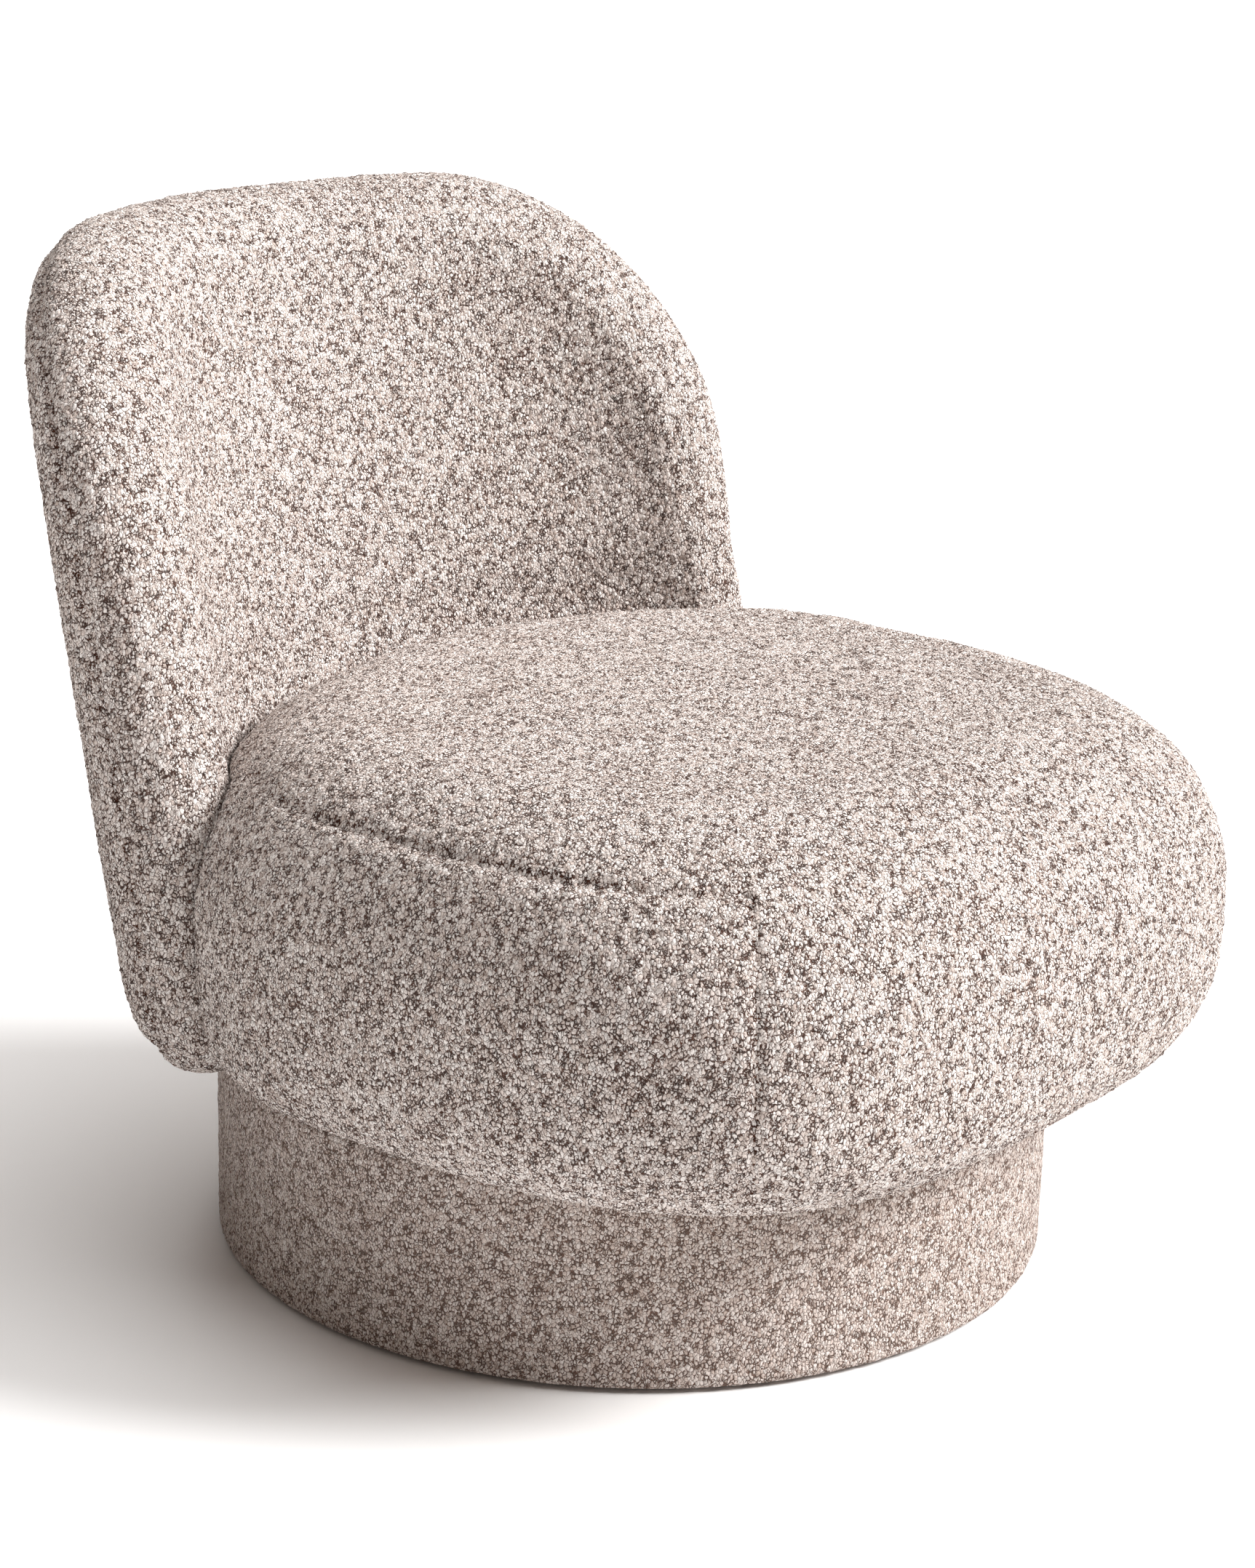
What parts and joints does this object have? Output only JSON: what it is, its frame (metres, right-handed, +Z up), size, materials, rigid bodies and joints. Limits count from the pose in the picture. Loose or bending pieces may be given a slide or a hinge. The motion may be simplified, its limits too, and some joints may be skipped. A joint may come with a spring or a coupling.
{
  "type": "swivel tub chair",
  "caption": "Armless swivelling tub chair: pouf-like seat, curved leaning back that wraps round its sides, round covered plinth.",
  "frame": {"origin": "on the floor, under the middle of the whole chair's outline", "axes": "+Z up, the chair faces -Y, +X is the sitter's left side as they sit; the swivel axis is vertical and 24.9 mm in front of the origin"},
  "size_m": [0.732, 0.8278, 0.724],
  "materials": {
    "upholstery_fabric": "short tufted boucle, matt",
    "foam": "open-cell, matt",
    "felt_wadding": "fibrous, matt",
    "dust_cloth": "non-woven, matt",
    "nylon": "moulded, matt",
    "plywood": "sanded, unfinished",
    "fibreboard": "smooth, unfinished",
    "solid_wood": "planed, unfinished",
    "black_steel": "black powder coat",
    "spring_steel": "oiled wire",
    "zinc_steel": "zinc plated"
  },
  "bodies": {
    "base": {"floor_glides": "nylon", "plinth_dust_cloth": "dust_cloth", "plinth_bottom_ring": "plywood", "plinth_blocks": "solid_wood", "plinth_screws": "zinc_steel", "plinth_wall": "fibreboard", "plinth_top_panel": "plywood", "plinth_wadding": "felt_wadding", "plinth_cover": "upholstery_fabric", "swivel_lower_plate": "black_steel", "swivel_lower_screws": "zinc_steel", "pivot_bolt": "zinc_steel", "pivot_thrust_washer": "zinc_steel", "pivot_nut": "zinc_steel"},
    "ball_ring": {"ball_cage": "zinc_steel", "swivel_balls": "zinc_steel"},
    "seat": {"back_brackets": "black_steel", "back_inner_foam": "foam", "back_left_post": "solid_wood", "back_lower_rib": "solid_wood", "back_outer_foam": "foam", "back_panel": "plywood", "back_right_post": "solid_wood", "back_upper_rib": "solid_wood", "bracket_foot_screws": "zinc_steel", "bracket_leg_bolts": "zinc_steel", "inside_back_cover": "upholstery_fabric", "outside_back_cover": "upholstery_fabric", "seat_board": "plywood", "seat_corner_blocks": "solid_wood", "seat_dust_cloth": "dust_cloth", "seat_foam": "foam", "seat_front_rail": "solid_wood", "seat_left_cover": "upholstery_fabric", "seat_left_rail": "solid_wood", "seat_rear_rail": "solid_wood", "seat_right_cover": "upholstery_fabric", "seat_right_rail": "solid_wood", "seat_springs": "spring_steel", "seat_top_cover": "upholstery_fabric", "spring_clips": "spring_steel", "spring_pad": "felt_wadding", "swivel_upper_bolts": "zinc_steel", "swivel_upper_plate": "black_steel", "tee_nuts": "zinc_steel"}
  },
  "joints": [
    {"name": "seat_swivel", "type": "hinge", "parent": "base", "child": "seat", "pos_m": [0, -0.02492, 0.1555], "axis": [0, 0, 1], "continuous": true},
    {"name": "ball_ring_turn", "type": "hinge", "parent": "base", "child": "ball_ring", "pos_m": [0, -0.02492, 0.1555], "axis": [0, 0, 1], "continuous": true}
  ],
  "couplings": [
    {"joint": "ball_ring_turn", "follows": "seat_swivel", "ratio": 0.5}
  ]
}
